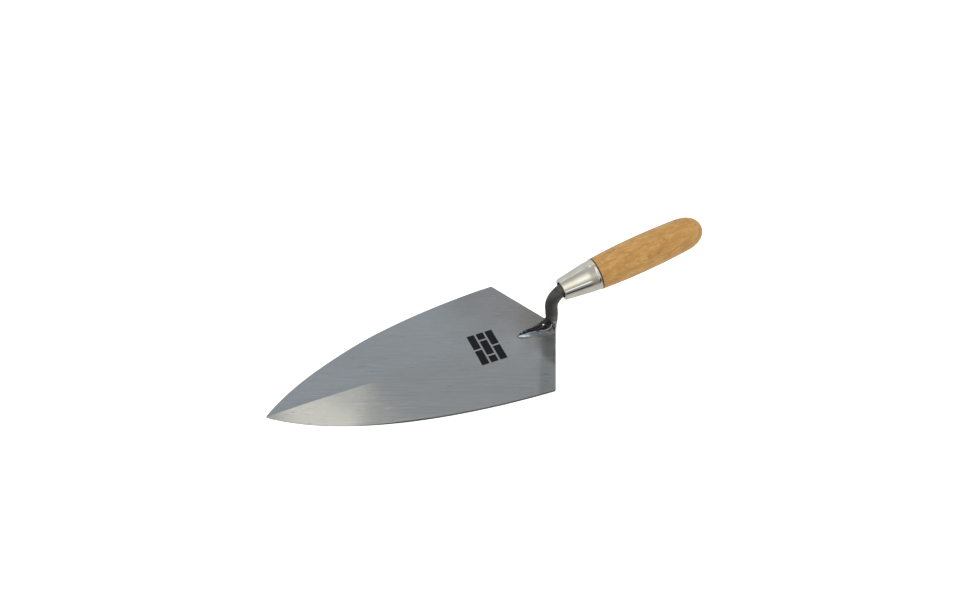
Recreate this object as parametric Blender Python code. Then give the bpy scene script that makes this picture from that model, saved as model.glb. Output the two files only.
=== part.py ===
"""Brick trowel: a flat steel blade with a cranked shank welded on its heel, and a turned
wooden handle held by a tapered ferrule.

Frame: +X runs from the blade's tip towards the butt of the handle, +Z is up, and the
blade's flat underside lies in Z = 0.  The origin is on that underside, on the centreline,
below the foot of the shank.  The tool is symmetric about Y = 0.  All sizes are in metres.
"""

import math

import bmesh
import bpy
import numpy as np
from mathutils import Vector

GAP = 0.0003                  # clearance kept between neighbouring pieces

# Blade, seen from above
BLADE_LENGTH = 0.280          # tip to heel vertex, a nominal 11 inch blade
BLADE_WIDTH = 0.1442          # heel corner to heel corner
HEEL_X = 0.0055               # heel vertex, where the two heel edges meet on the centreline
CORNER_SETBACK = 0.0354       # how far the heel corners lie forward of the heel vertex
CORNER_RADIUS = 0.0015
TIP_HALF_WIDTH = 0.0007
SIDE_NEAR_TIP = (0.063, 0.0551)      # side curve's control point: from the tip, from the middle
SIDE_NEAR_HEEL = (0.0668, 0.0689)    # the same: from the corner, from the middle

# Blade, in section
PLATE_THICKNESS = 0.0020
TIP_THICKNESS = 0.0005        # at the rim of the two facets beside the tip
RIDGE_RUN = 0.060             # length over which the ridge between the facets rises
ROOF_LENGTH = 0.060           # length of the tip that has two straight-sided facets
ROOF_FADE = 0.062             # length over which the facets flatten into the plate
RIDGE_POWER = 3.4             # how the facets draw in to the ridge as they fade
HEEL_BAND = 0.0170            # length along X of the ground band beside each heel edge
HEEL_DROP = 0.0003            # how much the band falls away towards the heel edge

# Shank
BAR_RADIUS = 0.0060
LEG_TAPER = 0.0026            # how much the leg's radius shrinks down at the plate
TAPER_HEIGHT = 0.0200
LEG_FOOT = (0.00175, 0.0045)  # X and Z of the bar's lower end, inside the foot
LEG_LEAN = math.radians(5.8)  # the leg leans towards the tip as it rises
BEND_RADIUS = 0.0182
TANG_START = 0.009            # distances along the handle's axis
TANG_SHOULDER = 0.020
TANG_END = 0.098
TANG_HALF_AT_SHOULDER = 0.0042
TANG_HALF_AT_END = 0.0024
TANG_SQUARENESS = 4.0         # 2 is round, and higher is squarer

# Foot of the shank
FOOT_POINT_X = -0.0352
FOOT_LEG_X = -0.0005          # widest place, under the leg
FOOT_REAR_X = 0.0047
FOOT_HALF_WIDTH = 0.0068
FOOT_ARCH = 1.5               # 1 is a round section and 2 a straight-sided one
RIDGE_START = (-0.0349, 0.0026)      # X and Z of the control points of the ridge's curve
RIDGE_RISE = (-0.0269, 0.0133)
RIDGE_DIP = (-0.0150, 0.0016)
RIDGE_TOP = (-0.0046, 0.0176)
FOOT_REAR_Z = 0.0060

# Weld
WELD_POINT_X = -0.0374
WELD_END_X = 0.0001
WELD_HALF_WIDTH = 0.0095
WELD_HEIGHT = 0.0031
WELD_LIP = 0.0003

# Handle axis: it rises from the axis point at HANDLE_RISE, in the plane Y = 0
AXIS_X = 0.0055
AXIS_Z = 0.04648
HANDLE_RISE = math.radians(11.22)

# Ferrule, with distances along the handle's axis: mouth, end of the cone, end of the collar,
# top of the flare and rim
FERRULE_STATIONS = (0.00277, 0.0300, 0.0370, 0.0380, 0.03852)
FERRULE_RADII = (0.01026, 0.0142, 0.01465, 0.0154, 0.0154)
FERRULE_WALL = 0.0008
LIP_BORE = 0.00775
LIP_ROUND = 0.0007

# Handle
HANDLE_END = 0.1491
SPIGOT_START = 0.010
BORE_MOUTH = 0.0070
BORE_END = 0.102
DRILL_POINT = 0.002
BODY_STATIONS = (0.0, 0.3, 0.6, 0.86)            # fractions of the grip's length
BODY_RADII = (0.0152, 0.01683, 0.01668, 0.0154)
BUTT_LENGTH = 0.0245
BUTT_POWER = 2.9
ADHESIVE_WALL = 0.0004        # at the tang's corners
ADHESIVE_START = 0.022
ADHESIVE_END = 0.096

ROUND_STEPS = 48
BAR_STEPS = 24


def clear_scene():
    for item in list(bpy.data.objects):
        bpy.data.objects.remove(item, do_unlink=True)


def make_material(name, colour, metallic, roughness):
    material = bpy.data.materials.new(name)
    material.use_nodes = True
    shader = material.node_tree.nodes["Principled BSDF"]
    shader.inputs["Base Color"].default_value = (*colour, 1.0)
    shader.inputs["Metallic"].default_value = metallic
    shader.inputs["Roughness"].default_value = roughness
    material.diffuse_color = (*colour, 1.0)
    return material


def make_object(name, bm, material, sharp_degrees=35.0):
    bmesh.ops.recalc_face_normals(bm, faces=bm.faces)
    mesh = bpy.data.meshes.new(name)
    bm.to_mesh(mesh)
    bm.free()
    mesh.shade_smooth()
    mesh.set_sharp_from_angle(angle=math.radians(sharp_degrees))
    mesh.materials.append(material)
    item = bpy.data.objects.new(name, mesh)
    bpy.context.scene.collection.objects.link(item)
    return item


def mirror_across_centreline(item):
    mirror = item.modifiers.new("other side", "MIRROR")
    mirror.use_axis = (False, True, False)
    mirror.use_clip = True
    mirror.use_mirror_merge = True
    mirror.merge_threshold = 0.00001


def clamp(value):
    return min(max(value, 0.0), 1.0)


def ease(value):
    value = clamp(value)
    return value * value * (3.0 - 2.0 * value)


def bezier(start, near_start, near_end, end, t):
    s = 1.0 - t
    return start * s**3 + near_start * (3 * s * s * t) + near_end * (3 * s * t * t) + end * t**3


def loft(bm, rings, capped=True):
    """Skin rings of equally many points; a loop that runs round each ring is closed."""
    loops = [[bm.verts.new(point) for point in ring] for ring in rings]
    count = len(loops[0])
    for low, high in zip(loops, loops[1:]):
        for k in range(count):
            nxt = (k + 1) % count
            bm.faces.new((low[k], low[nxt], high[nxt], high[k]))
    if capped:
        bm.faces.new(loops[0])
        bm.faces.new(loops[-1])
    return loops


def turn(bm, profile, closed):
    """Spin a profile of (distance along Z, radius) pairs about Z."""
    points = [bm.verts.new((radius, 0.0, z)) for z, radius in profile]
    pairs = list(zip(points, points[1:]))
    if closed:
        pairs.append((points[-1], points[0]))
    edges = [bm.edges.new(pair) for pair in pairs]
    bmesh.ops.spin(bm, geom=points + edges, cent=(0, 0, 0), axis=(0, 0, 1),
                   angle=2 * math.pi, steps=ROUND_STEPS, use_duplicate=False)
    bmesh.ops.remove_doubles(bm, verts=bm.verts, dist=0.000001)


# ---------------------------------------------------------------- blade

HEEL_SLANT = CORNER_SETBACK / (BLADE_WIDTH / 2)      # setback for each metre off the middle
TIP_X = HEEL_X - BLADE_LENGTH
CORNER_X = HEEL_X - CORNER_SETBACK


def blade_side(t):
    """Outline of the blade's side, from the tip at 0 to the heel corner at 1."""
    return bezier(Vector((TIP_X, TIP_HALF_WIDTH)),
                  Vector((TIP_X + SIDE_NEAR_TIP[0], SIDE_NEAR_TIP[1])),
                  Vector((CORNER_X - SIDE_NEAR_HEEL[0], SIDE_NEAR_HEEL[1])),
                  Vector((CORNER_X, BLADE_WIDTH / 2)), t)


def band_step():
    """Place along the side curve where the heel band's inner border meets it."""
    low, high = 0.5, 1.0
    for _ in range(40):
        middle = (low + high) / 2
        x, y = blade_side(middle)
        if x + HEEL_SLANT * y < HEEL_X - HEEL_BAND:
            low = middle
        else:
            high = middle
    return low


def heel_drop(x, y):
    """Fall of the band beside each heel edge, which begins softly and is steepest early on."""
    depth = HEEL_X - (x + HEEL_SLANT * abs(y))
    share = clamp(1.0 - depth / HEEL_BAND)
    soft = min(1.12 * share * share / (share + 0.12), 1.0)
    return HEEL_DROP * (1.0 - (1.0 - soft) ** 1.6)


def blade_top(x, y, across):
    """Height of the upper surface; across is 0 on the centreline and 1 at the rim.

    Two facets slope from a ridge at the tip and die away into the flat plate."""
    from_tip = x - TIP_X
    swell = 1.0 - (1.0 - clamp(from_tip / RIDGE_RUN)) ** 2
    flatness = ease((from_tip - ROOF_LENGTH) / ROOF_FADE)
    rim = TIP_THICKNESS + (PLATE_THICKNESS - TIP_THICKNESS) * flatness
    ridge = TIP_THICKNESS + (PLATE_THICKNESS - TIP_THICKNESS) * swell
    power = 1.0 + (RIDGE_POWER - 1.0) * flatness
    return rim + (ridge - rim) * (1.0 - across) ** power - heel_drop(x, y)


def build_blade(material):
    """Half a slab in rows that swing from square across the tip to parallel with the heel."""
    border = band_step()
    steps = [*np.linspace(0.0, border, 26), *np.linspace(border, 1.0, 6)[1:]]
    columns = (0.0, 0.07, 0.18, 0.36, 0.65, 1.0)
    bm = bmesh.new()
    top, bottom = [], []
    for t in steps:
        rim_x, rim_y = blade_side(t)
        middle_x = rim_x + HEEL_SLANT * min(t / border, 1.0) ** 2 * rim_y
        row = [(middle_x + (rim_x - middle_x) * a, rim_y * a, a) for a in columns]
        top.append([bm.verts.new((x, y, blade_top(x, y, a))) for x, y, a in row])
        bottom.append([bm.verts.new((x, y, 0.0)) for x, y, a in row])
    for low, high in zip(range(len(steps)), range(1, len(steps))):
        for k in range(len(columns) - 1):
            bm.faces.new((top[low][k], top[low][k + 1], top[high][k + 1], top[high][k]))
            bm.faces.new((bottom[low][k], bottom[high][k], bottom[high][k + 1], bottom[low][k + 1]))
        bm.faces.new((top[low][-1], bottom[low][-1], bottom[high][-1], top[high][-1]))
    for row in (0, -1):
        for k in range(len(columns) - 1):
            bm.faces.new((top[row][k], bottom[row][k], bottom[row][k + 1], top[row][k + 1]))
    corner = bm.edges.get((top[-1][-1], bottom[-1][-1]))
    bmesh.ops.bevel(bm, geom=[corner], offset=CORNER_RADIUS, segments=3, profile=0.5,
                    affect="EDGES")
    blade = make_object("blade", bm, material)
    mirror_across_centreline(blade)


# ---------------------------------------------------------------- shank

AXIS_DIRECTION = Vector((math.cos(HANDLE_RISE), 0.0, math.sin(HANDLE_RISE)))
AXIS_POINT = Vector((AXIS_X, 0.0, AXIS_Z))
SIDEWAYS = Vector((0.0, 1.0, 0.0))


def tang_half(s):
    """Half the tang's thickness at a distance s along the handle's axis."""
    share = (s - TANG_SHOULDER) / (TANG_END - TANG_SHOULDER)
    return TANG_HALF_AT_SHOULDER + (TANG_HALF_AT_END - TANG_HALF_AT_SHOULDER) * share


def squared_ring(centre, direction, half, squareness):
    """Ring across a direction in the plane Y = 0, round at squareness 2."""
    up = direction.cross(SIDEWAYS)
    ring = []
    for k in range(BAR_STEPS):
        angle = 2 * math.pi * k / BAR_STEPS
        c, s = math.cos(angle), math.sin(angle)
        radius = half / (abs(c) ** squareness + abs(s) ** squareness) ** (1.0 / squareness)
        ring.append(centre + (up * c + SIDEWAYS * s) * radius)
    return ring


def bar_path():
    """The crank's centreline: a leaning leg, then a bend that ends on the handle's axis."""
    leg = Vector((-math.sin(LEG_LEAN), 0.0, math.cos(LEG_LEAN)))
    foot = Vector((LEG_FOOT[0], 0.0, LEG_FOOT[1]))
    across = AXIS_POINT - foot
    spread = leg.x * AXIS_DIRECTION.z - leg.z * AXIS_DIRECTION.x
    to_corner = (across.x * AXIS_DIRECTION.z - across.z * AXIS_DIRECTION.x) / spread
    bend_corner = foot + leg * to_corner
    bend_angle = leg.angle(AXIS_DIRECTION)
    setback = BEND_RADIUS * math.tan(bend_angle / 2)
    bend_start = bend_corner - leg * setback
    inward = Vector((leg.z, 0.0, -leg.x))
    centre = bend_start + inward * BEND_RADIUS
    path = [(foot.lerp(bend_start, k / 8), leg) for k in range(8)]
    for k in range(13):
        a = bend_angle * k / 12
        spot = centre - inward * (BEND_RADIUS * math.cos(a)) + leg * (BEND_RADIUS * math.sin(a))
        path.append((spot, leg * math.cos(a) + inward * math.sin(a)))
    return path


def leg_radius(z):
    """The leg is drawn down towards the plate."""
    rest = clamp(1.0 - (z - PLATE_THICKNESS) / TAPER_HEIGHT)
    return BAR_RADIUS - LEG_TAPER * rest**2


def build_bar():
    rings = [squared_ring(spot, way, leg_radius(spot.z), 2.0) for spot, way in bar_path()]
    for s in np.linspace(TANG_START, TANG_SHOULDER, 5)[1:]:
        share = (s - TANG_START) / (TANG_SHOULDER - TANG_START)
        half = BAR_RADIUS + (TANG_HALF_AT_SHOULDER - BAR_RADIUS) * share
        squareness = 2.0 + (TANG_SQUARENESS - 2.0) * share
        rings.append(squared_ring(AXIS_POINT + AXIS_DIRECTION * s, AXIS_DIRECTION, half, squareness))
    for s in np.linspace(TANG_SHOULDER, TANG_END, 6)[1:]:
        spot = AXIS_POINT + AXIS_DIRECTION * s
        rings.append(squared_ring(spot, AXIS_DIRECTION, tang_half(s), TANG_SQUARENESS))
    bm = bmesh.new()
    loft(bm, rings)
    return bm


def leaf(x, point_x, full_x, half_width):
    """Half width of a leaf that grows from its point to its widest place."""
    share = clamp((x - point_x) / (full_x - point_x))
    return half_width * (1.0 - (1.0 - share) ** 1.5)


def foot_half_width(x):
    if x <= FOOT_LEG_X:
        return leaf(x, FOOT_POINT_X, FOOT_LEG_X, FOOT_HALF_WIDTH)
    share = (x - FOOT_LEG_X) / (FOOT_REAR_X - FOOT_LEG_X)
    return FOOT_HALF_WIDTH * math.sqrt(max(1.0 - share**2, 0.0))


def above_blade(x, y):
    """Just above the blade's upper surface, near the middle of the heel."""
    return PLATE_THICKNESS - heel_drop(x, y) + GAP


def foot_arch(x, ridge_z, half_width):
    """Arched section across the foot, flat underneath."""
    steps = 12
    arch = []
    for k in range(steps + 1):
        angle = math.pi * k / steps
        y = half_width * math.copysign(abs(math.cos(angle)) ** FOOT_ARCH, math.cos(angle))
        base = above_blade(x, 0.0)
        height = (ridge_z - base) * abs(math.sin(angle)) ** FOOT_ARCH
        arch.append(Vector((x, y, base + height)))
    return arch


def build_foot():
    """Spear-shaped foot, from its point to the rounded end under the leg."""
    rings = []
    for t in np.linspace(0.0, 1.0, 11):
        x, z = bezier(Vector(RIDGE_START), Vector(RIDGE_RISE), Vector(RIDGE_DIP), Vector(RIDGE_TOP), t)
        rings.append(foot_arch(x, z, max(foot_half_width(x), 0.0004)))
    for share in (0.25, 0.5, 0.75, 0.9, 0.98):
        x = RIDGE_TOP[0] + (FOOT_REAR_X - RIDGE_TOP[0]) * share
        z = RIDGE_TOP[1] + (FOOT_REAR_Z - RIDGE_TOP[1]) * share
        rings.append(foot_arch(x, z, foot_half_width(x)))
    bm = bmesh.new()
    loft(bm, rings)
    return bm


def build_shank(material):
    """The bar and its foot, forged in one."""
    shank = make_object("shank", build_bar(), material)
    foot = make_object("foot_shape", build_foot(), material)
    foot.hide_render = True
    foot.display_type = "WIRE"
    union = shank.modifiers.new("foot", "BOOLEAN")
    union.operation = "UNION"
    union.solver = "EXACT"
    union.object = foot


def build_weld(material):
    """Fillet of weld metal round the foot, as one half that meets its mirror at the point."""
    bm = bmesh.new()
    rings = []
    inner_start = FOOT_POINT_X - 2 * GAP
    for share in np.linspace(0.0, 1.0, 14) ** 1.3:
        inner_x = inner_start + (WELD_END_X - inner_start) * share
        outer_x = WELD_POINT_X + (WELD_END_X - WELD_POINT_X) * share
        inner_y = 0.0
        if share > 0.0:
            inner_y = foot_half_width(inner_x) + GAP + 0.0001
        outer_y = leaf(outer_x, WELD_POINT_X, FOOT_LEG_X, WELD_HALF_WIDTH)
        inner_base = above_blade(inner_x, inner_y)
        outer_base = above_blade(outer_x, outer_y)
        height = WELD_LIP + (WELD_HEIGHT - WELD_LIP) * min(1.0, share * 4)
        rings.append([(inner_x, inner_y, inner_base), (outer_x, outer_y, outer_base),
                      (outer_x, outer_y, outer_base + WELD_LIP),
                      (inner_x, inner_y, inner_base + height)])
    loops = loft(bm, rings, capped=False)
    bm.faces.new(loops[-1])
    weld = make_object("weld_bead", bm, material)
    mirror_across_centreline(weld)


# ---------------------------------------------------------------- ferrule and handle

FERRULE_START, CONE_END, COLLAR_END, FLARE_TOP, FERRULE_END = FERRULE_STATIONS


def ferrule_outer(s):
    return float(np.interp(s, FERRULE_STATIONS, FERRULE_RADII))


def ferrule_inner(s):
    """Inside of the ferrule, which runs straight on under the flared rim."""
    return ferrule_outer(min(s, COLLAR_END)) - FERRULE_WALL


def quarter_round(centre_z, centre_r, start_angle):
    """Quarter circle of the rolled lip, in the plane of the ferrule's profile."""
    points = []
    for k in range(4):
        a = start_angle + math.pi / 2 * k / 3
        points.append((centre_z - LIP_ROUND * math.sin(a), centre_r + LIP_ROUND * math.cos(a)))
    return points


def build_ferrule(material, axis):
    """Thin cone with a collar and a flared rim, whose small end is rolled in to a flat lip."""
    lip_z = FERRULE_START + LIP_ROUND
    inner_z = lip_z + FERRULE_WALL / 2
    profile = [(s, ferrule_outer(s)) for s in (FERRULE_END, FLARE_TOP, COLLAR_END, CONE_END)]
    profile += quarter_round(lip_z, ferrule_outer(lip_z) - LIP_ROUND, 0.0)
    profile += quarter_round(lip_z, LIP_BORE + LIP_ROUND, math.pi / 2)
    profile.append((inner_z, LIP_BORE))
    profile += [(s, ferrule_inner(s)) for s in (inner_z, CONE_END, COLLAR_END, FERRULE_END)]
    bm = bmesh.new()
    turn(bm, profile, closed=True)
    ferrule = make_object("ferrule", bm, material)
    ferrule.parent = axis


def bore_radius(s):
    """Tapered bore that leaves room for the tang's corners and the adhesive round them."""
    corner = 2 ** (0.5 - 1.0 / TANG_SQUARENESS)
    return tang_half(s) * corner + ADHESIVE_WALL + 2 * GAP


def body_radius(s):
    """Grip radius: a gentle swell, closed by the rounded butt."""
    start = FERRULE_END + GAP
    cubic = np.polyfit(BODY_STATIONS, BODY_RADII, 3)
    swell = float(np.polyval(cubic, (s - start) / (HANDLE_END - start)))
    into_butt = clamp((s - (HANDLE_END - BUTT_LENGTH)) / BUTT_LENGTH)
    return swell * math.sqrt(max(1.0 - into_butt**BUTT_POWER, 0.0))


def build_handle(material, axis):
    start = FERRULE_END + GAP
    profile = [(HANDLE_END, 0.0)]
    for k in range(1, 9):
        share = math.sin(math.pi / 2 * (1.0 - k / 8))
        s = HANDLE_END - BUTT_LENGTH + BUTT_LENGTH * share
        profile.append((s, body_radius(s)))
    for s in np.linspace(HANDLE_END - BUTT_LENGTH, start, 11)[1:]:
        profile.append((float(s), body_radius(float(s))))
    for s in (start, COLLAR_END, CONE_END, SPIGOT_START):
        profile.append((s, ferrule_inner(s) - GAP))
    profile.append((SPIGOT_START, BORE_MOUTH))
    for s in np.linspace(ADHESIVE_START, BORE_END, 4):
        profile.append((float(s), bore_radius(float(s))))
    profile.append((BORE_END + DRILL_POINT, 0.0))
    bm = bmesh.new()
    turn(bm, profile, closed=False)
    handle = make_object("handle", bm, material)
    handle.parent = axis


def build_adhesive(material, axis):
    """Resin sleeve, round outside where it fills the bore and square inside round the tang."""
    upright = Vector((0.0, 0.0, 1.0))
    outer, inner = [], []
    for s in np.linspace(ADHESIVE_START, ADHESIVE_END, 4):
        spot = upright * float(s)
        outer.append(squared_ring(spot, upright, bore_radius(s) - GAP, 2.0))
        inner.append(squared_ring(spot, upright, tang_half(s) + GAP, TANG_SQUARENESS))
    bm = bmesh.new()
    loft(bm, outer + inner[::-1] + outer[:1], capped=False)
    bmesh.ops.remove_doubles(bm, verts=bm.verts, dist=0.000001)
    adhesive = make_object("tang_adhesive", bm, material)
    adhesive.parent = axis


def make_handle_axis():
    """Empty whose Z runs along the handle's axis."""
    axis = bpy.data.objects.new("handle_axis", None)
    axis.location = AXIS_POINT
    axis.rotation_euler = (0.0, math.pi / 2 - HANDLE_RISE, 0.0)
    axis.empty_display_size = 0.02
    bpy.context.scene.collection.objects.link(axis)
    return axis


def main():
    clear_scene()
    axis = make_handle_axis()
    build_blade(make_material("ground_steel", (0.24, 0.26, 0.28), 1.0, 0.38))
    build_shank(make_material("forged_black", (0.045, 0.042, 0.040), 0.4, 0.45))
    build_weld(make_material("weld_metal", (0.32, 0.34, 0.38), 1.0, 0.35))
    build_ferrule(make_material("nickel_plate", (0.62, 0.60, 0.53), 1.0, 0.14), axis)
    build_handle(make_material("beech", (0.51, 0.28, 0.10), 0.0, 0.42), axis)
    build_adhesive(make_material("resin", (0.55, 0.38, 0.16), 0.0, 0.25), axis)


main()
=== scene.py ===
import math

import bmesh
import bpy
import numpy as np
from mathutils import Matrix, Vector, noise
from mathutils.kdtree import KDTree


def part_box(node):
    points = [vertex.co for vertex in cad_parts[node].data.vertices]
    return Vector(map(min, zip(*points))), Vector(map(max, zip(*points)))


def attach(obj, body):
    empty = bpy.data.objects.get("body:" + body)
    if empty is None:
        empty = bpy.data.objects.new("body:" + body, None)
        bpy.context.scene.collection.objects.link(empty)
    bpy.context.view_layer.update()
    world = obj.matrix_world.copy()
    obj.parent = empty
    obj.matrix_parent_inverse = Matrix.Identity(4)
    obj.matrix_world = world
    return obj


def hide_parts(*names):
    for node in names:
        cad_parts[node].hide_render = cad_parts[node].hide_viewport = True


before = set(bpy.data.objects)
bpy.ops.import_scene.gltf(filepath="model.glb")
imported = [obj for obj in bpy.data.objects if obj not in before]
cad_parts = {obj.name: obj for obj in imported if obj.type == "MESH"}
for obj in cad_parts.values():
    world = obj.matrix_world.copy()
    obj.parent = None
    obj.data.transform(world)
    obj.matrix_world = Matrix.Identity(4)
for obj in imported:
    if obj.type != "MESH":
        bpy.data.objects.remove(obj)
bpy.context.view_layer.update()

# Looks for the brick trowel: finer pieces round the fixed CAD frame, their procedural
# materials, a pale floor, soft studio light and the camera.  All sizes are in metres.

BODY = "root"

# ---- places read off the frame

BLADE_LOW, BLADE_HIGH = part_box("blade")
TIP_X = BLADE_LOW.x
HEEL_X = BLADE_HIGH.x  # heel vertex, where the two heel edges meet
PLATE_TOP = BLADE_HIGH.z  # full thickness of the plate


def turned_axis():
    """Direction of the handle's axis, and its point at the ferrule's mouth."""
    grip = np.array([v.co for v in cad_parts["handle"].data.vertices])
    centre = grip.mean(axis=0)
    direction = np.linalg.svd(grip - centre, full_matrices=False)[2][0]
    direction *= np.sign(direction[0])
    rings = np.array([v.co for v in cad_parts["ferrule"].data.vertices])
    mouth = ((rings - centre) @ direction).min()
    return Vector(direction), Vector(centre + direction * mouth)


AXIS, MOUTH = turned_axis()
AXIS_RISE = math.asin(AXIS.z)
AXIS_UP = Vector((-AXIS.z, 0.0, AXIS.x))
SIDEWAYS = Vector((0.0, 1.0, 0.0))

# ---- sizes

# Blade in plan
HALF_WIDTH = 0.0721  # centreline to the heel corner before it is rounded
CORNER_SETBACK = 0.0354
CORNER_ROUND = 0.0015
TIP_ROUND = 0.0015
TIP_ARC = (0.06, 0.82)  # part of the tip's rounding that is built, in radians
TIP_HALF_WIDTH = 0.0007  # where the side curve would meet the tip's plane
SIDE_NEAR_TIP = (0.063, 0.0551)
SIDE_NEAR_HEEL = (0.0668, 0.0689)
SLANT = CORNER_SETBACK / HALF_WIDTH

# Blade in section
TIP_THICKNESS = 0.0005  # at the rim of the two facets beside the tip
RIDGE_RUN = 0.06  # from the tip to the ridge's full height
ROOF_LENGTH = 0.06  # where the facets begin to fade
ROOF_FADE = 0.062  # and how far they take to do so
RIDGE_POWER = 3.4  # how the two facets draw in to the ridge as they fade
HEEL_BAND = 0.017
HEEL_DROP = 0.0003
HEEL_SOFTNESS = 0.12  # how softly the band begins
HEEL_HOLLOW = 1.6  # 1 would be a straight slope
GRIND_ANGLE = math.radians(23)  # the grinding lines run slantwise over the blade
EDGE_BREAK = 0.00012  # small chamfer all round the plate's edge
WAVINESS = 0.000012  # grinding leaves the faces very slightly uneven
WAVE_LENGTH = 0.045

# Shank, relative to the heel vertex
BAR_RADIUS = 0.006
LEG_TAPER = 0.0026  # how much thinner the leg is at the plate
TAPER_HEIGHT = 0.02
LEG_FOOT = (-0.00375, 0.0045)
LEG_LEAN = math.radians(5.8)
BEND_RADIUS = 0.0182
FOOT_POINT = -0.0387
FOOT_WIDEST = -0.006
FOOT_REAR = -0.0008
FOOT_HALF_WIDTH = 0.0068
FOOT_EDGE = 0.0003  # half width of the thin ridge past the foot's point
FOOT_ARCH = 1.5  # 1 is a round section, 2 a straight-sided one
LEAF_POWER = 1.25  # how full the foot and the weld are in plan
RIDGE_START = (-0.0404, 0.0026)
RIDGE_RISE = (-0.0324, 0.0133)
RIDGE_DIP = (-0.0205, 0.0016)
RIDGE_TOP = (-0.0101, 0.0176)
FOOT_REAR_Z = 0.006
SUNK = 0.0002  # how deep welded surfaces run into each other
FORGE_VOXEL = 0.00038
DENTS = (0.0075, 0.0001)  # wave length and height
SCALE_SKIN = (0.0014, 0.00004)  # the same for the scale
FOOT_LUMPS = (0.0065, 0.0017, 0.0021)  # lengths of its folds in x, y and z
FOLD_HEIGHT = 0.00085

# Tang, with distances along the handle's axis from the ferrule's mouth
NECK_START = 0.0062  # end of the round bar
TANG_SHOULDER = 0.0172
TANG_END = 0.0952
TANG_HALF = (0.0042, 0.0024)
TANG_TIP = 0.6  # share of its width left at the end
ROUND, SQUARED = 2.0, 4.0  # powers of a ring's outline

# Weld, relative to the heel vertex
WELD_POINT = -0.0429
WELD_HALF_WIDTH = 0.0105
WELD_TURN = -0.0051  # where the seam turns to run along the heel edge
WELD_START = 0.004  # share of the seam at its first section
WELD_SIDE_END = 0.72  # share of the seam that runs beside the foot
WELD_HEEL_GAP = 0.0003  # plate left bare along the heel edges
WELD_RAGGED = (26.0, 0.0003)  # unevenness of its outer line: waves and height
WELD_WANDER = (17.0, 0.0005)  # the same for its crest
WELD_HOLLOW = 1.5  # how hollow the fillet's face is
BEAD_RADIUS = 0.00055
BEAD_SHARE = 0.35  # most of the height that the bead takes
BEAD_SET_IN = 0.6  # share of its radius, towards the shank
INTO_FOOT = 0.0006  # how far the weld reaches into the shank
INTO_CREST = 0.0008  # the same at its crest
WELD_VOXEL = 0.0003
WELD_SKIN = ((0.0012, 0.0001), (0.0028, 0.00012))  # wave lengths and heights of its roughness
SKIN_FADE = 0.0015  # height over which that dies away at the plate
CREST_REACH = 0.0012  # how far the painted highlight spreads from the crest
CREST_POINT = 12  # which point of a section is the bead's crest
WELD_PEAK = 0.8  # share of the seam where the crest is highest
# height of the weld's crest above the plate: (share of the seam, height)
WELD_CLIMB = ((0.0, 0.0004), (0.10, 0.0014), (0.24, 0.0026), (0.42, 0.0031), (0.58, 0.003),
              (0.69, 0.0054), (0.755, 0.0108), (WELD_PEAK, 0.0119), (0.88, 0.008), (1.0, 0.004))

# beads of spatter, from the heel vertex: x, y, z and radius
WELD_SPATTER = ((-0.01465, -0.0026, 0.0104, 0.0008), (-0.0205, -0.0024, 0.0078, 0.0004),
                (-0.006, -0.0063, 0.0062, 0.0009), (-0.01, 0.0064, 0.006, 0.0008),
                (-0.0036, -0.006, 0.009, 0.0006), (-0.03, -0.0105, 0.0021, 0.0003),
                (-0.024, 0.0115, 0.0021, 0.0003))
SPATTER_STRETCH = 1.6  # the beads are longer along X

# Ferrule and handle, with distances along the axis from the ferrule's mouth
CONE_END, COLLAR_END, FLARE_TOP, FERRULE_END = 0.02723, 0.03423, 0.03523, 0.03575
MOUTH_RADIUS, CONE_RADIUS, COLLAR_RADIUS, RIM_RADIUS = 0.01026, 0.0142, 0.01465, 0.0154
CONE_SLOPE = (CONE_RADIUS - MOUTH_RADIUS) / CONE_END
FERRULE_WALL = 0.0008
RIM_ROUND = 0.0003
FLARE_INSET = 0.0006  # the flare reaches this far into the collar
CONE_BLEND = 0.0022  # half the length over which cone turns into collar
LIP_BORE = 0.00775
LIP_ROUND = 0.0007
GRIP_START, GRIP_END = 0.036, 0.14633
BUTT_LENGTH = 0.0245
BUTT_POWER = 2.9
GRIP_STATIONS = (0.0, 0.3, 0.6, 0.86)
GRIP_RADII = (0.0152, 0.01683, 0.01668, 0.0154)
SHOULDER_ROUND = 0.0005
SPIGOT_START = 0.0073
SPIGOT_GAP = 0.0001  # between the spigot and the ferrule's wall
BORE_MOUTH, BORE_THROAT, BORE_FLOOR = 0.007, 0.006, 0.0039
THROAT_DEPTH = 0.012
BORE_END = 0.0993
BORE_POINT = 0.002

# Printed mark: a patch of brickwork
PRINT_CENTRE = (-0.0715, -0.001)  # from the heel vertex
COURSE_LENGTH = 0.038
COURSE_HEIGHT = 0.0072
JOINT_WIDTH = 0.0018
BRICK_CORNER = 0.0006
PRINT_FILM = 0.00002


# ---- mesh tools

def finish_piece(name, bm, sharp_degrees=None):
    """Turn a bmesh into a smooth-shaded object."""
    bmesh.ops.recalc_face_normals(bm, faces=bm.faces)
    mesh = bpy.data.meshes.new(name)
    bm.to_mesh(mesh)
    bm.free()
    mesh.shade_smooth()
    if sharp_degrees:
        mesh.set_sharp_from_angle(angle=math.radians(sharp_degrees))
    piece = bpy.data.objects.new(name, mesh)
    bpy.context.scene.collection.objects.link(piece)
    return piece


def dress(piece, material, slot, *nodes):
    """Give a piece its material and hide the nodes it stands for; slot is not used."""
    piece.data.materials.clear()
    piece.data.materials.append(material)
    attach(piece, BODY)
    if nodes:
        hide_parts(*nodes)


def clamp(value):
    """The value held between 0 and 1."""
    return min(max(value, 0.0), 1.0)


def ease(value):
    """Smooth step from 0 to 1."""
    value = clamp(value)
    return value * value * (3.0 - 2.0 * value)


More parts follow.
